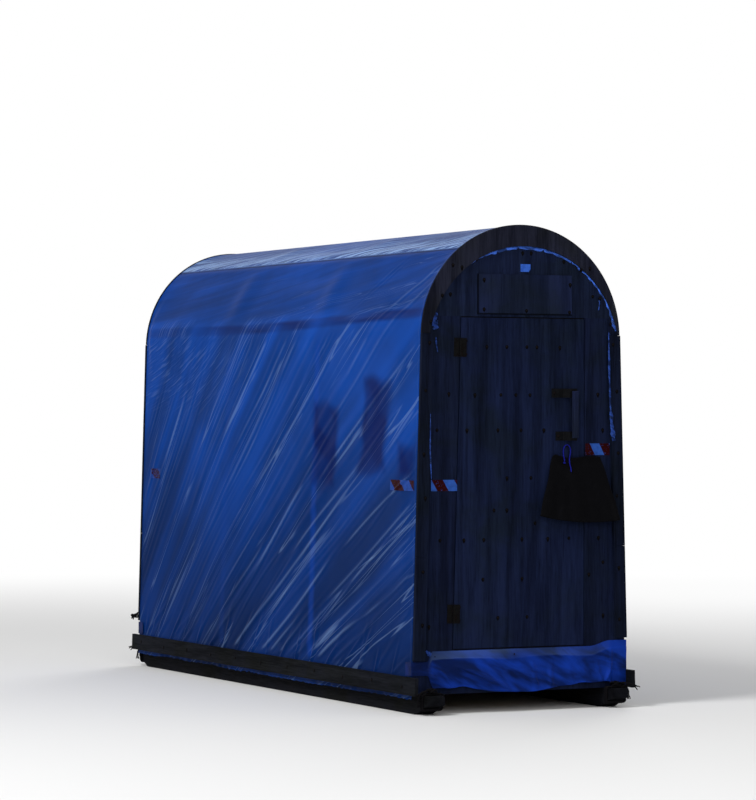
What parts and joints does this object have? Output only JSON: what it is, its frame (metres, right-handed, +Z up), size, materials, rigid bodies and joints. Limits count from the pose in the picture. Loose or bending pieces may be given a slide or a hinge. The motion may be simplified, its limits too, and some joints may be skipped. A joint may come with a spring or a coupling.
{
  "type": "ice fishing hut",
  "caption": "Narrow arched-roof hut on timber skids, with plywood ends, an outward hinged door and a film cover over wall and roof, for sheltering people who fish through ice.",
  "frame": {"origin": "middle of the footprint, on the ground under the skids", "axes": "+X to the right seen from the door, +Y from the door to the rear wall, +Z up"},
  "size_m": [1.274, 3.73, 2.462],
  "materials": {
    "framing_timber": "sawn softwood, greyed",
    "weathered_plywood": "unpainted plywood, weathered",
    "weathered_strip": "weathered batten",
    "stained_board": "damp stained board",
    "floor_plywood": "trodden plywood",
    "clear_film": "translucent polythene sheet",
    "rusty_steel": "rusted",
    "black_rubber": "dull black",
    "blue_cord": "braided",
    "old_rope": "dirty rope"
  },
  "bodies": {
    "hut": {"skid_left": "stained_board", "skid_right": "stained_board", "rim_joists": "framing_timber", "floor_joists": "framing_timber", "floor_deck": "floor_plywood", "sole_plates": "framing_timber", "wall_studs_left": "framing_timber", "wall_studs_right": "framing_timber", "eave_plates": "framing_timber", "roof_bow_front": "framing_timber", "roof_bow_forward": "framing_timber", "roof_bow_aft": "framing_timber", "roof_bow_rear": "framing_timber", "roof_purlins": "framing_timber", "front_wall_left": "weathered_plywood", "front_wall_right": "weathered_plywood", "front_wall_head": "weathered_plywood", "front_wall_sill": "weathered_plywood", "door_jambs": "framing_timber", "door_rails": "framing_timber", "rear_wall": "weathered_plywood", "rear_girt": "framing_timber", "arch_trim_front": "weathered_plywood", "arch_trim_rear": "weathered_plywood", "corner_battens_front": "weathered_strip", "corner_battens_rear": "weathered_strip", "base_board_left": "stained_board", "base_board_right": "stained_board", "cover_left": "clear_film", "cover_right": "clear_film", "cover_roof": "clear_film", "skirt_front": "clear_film", "skirt_rear": "clear_film", "name_plate": "weathered_plywood", "hinge_leaves_frame": "rusty_steel", "skid_lashings": "old_rope"},
    "door": {"door_leaf": "weathered_plywood", "door_ledges": "framing_timber", "hinge_leaves_door": "rusty_steel", "pull_straps": "rusty_steel", "pull_grip": "weathered_strip", "lock_flap": "black_rubber", "flap_nail": "rusty_steel", "flap_cord_knot": "blue_cord", "flap_cord": "blue_cord"}
  },
  "joints": [
    {"name": "door_hinge", "type": "hinge", "parent": "hut", "child": "door", "pos_m": [-0.3955, -1.7803, 0.1], "axis": [-0.0273, 0, -0.9996], "range_deg": [0, 110]}
  ]
}
